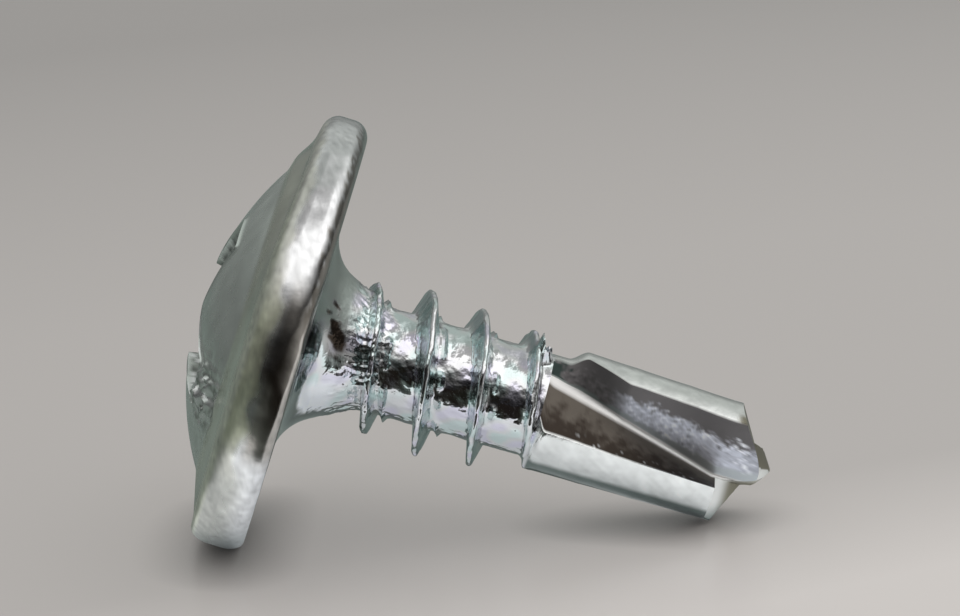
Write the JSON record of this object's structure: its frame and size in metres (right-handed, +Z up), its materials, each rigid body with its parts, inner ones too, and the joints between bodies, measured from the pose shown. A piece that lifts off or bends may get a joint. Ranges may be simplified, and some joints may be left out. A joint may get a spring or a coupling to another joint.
{
  "type": "self drilling screw",
  "caption": "Self drilling screw with a wide domed flange head, cross recess, coarse tapping thread and fluted drill point, zinc plated steel.",
  "frame": {"origin": "middle of the overall box on the table plane, Z = 0 at the lowest points of the flange and of the drill point", "axes": "+X towards the drill point, along the table; +Z up; the screw's axis lies in the XZ plane and dips towards +X"},
  "size_m": [0.0148, 0.0114, 0.0109],
  "materials": {
    "zinc_plated_steel": "bright zinc plated, satin, slightly lumpy"
  },
  "bodies": {
    "root": {"self_drilling_screw": "zinc_plated_steel"}
  },
  "joints": []
}
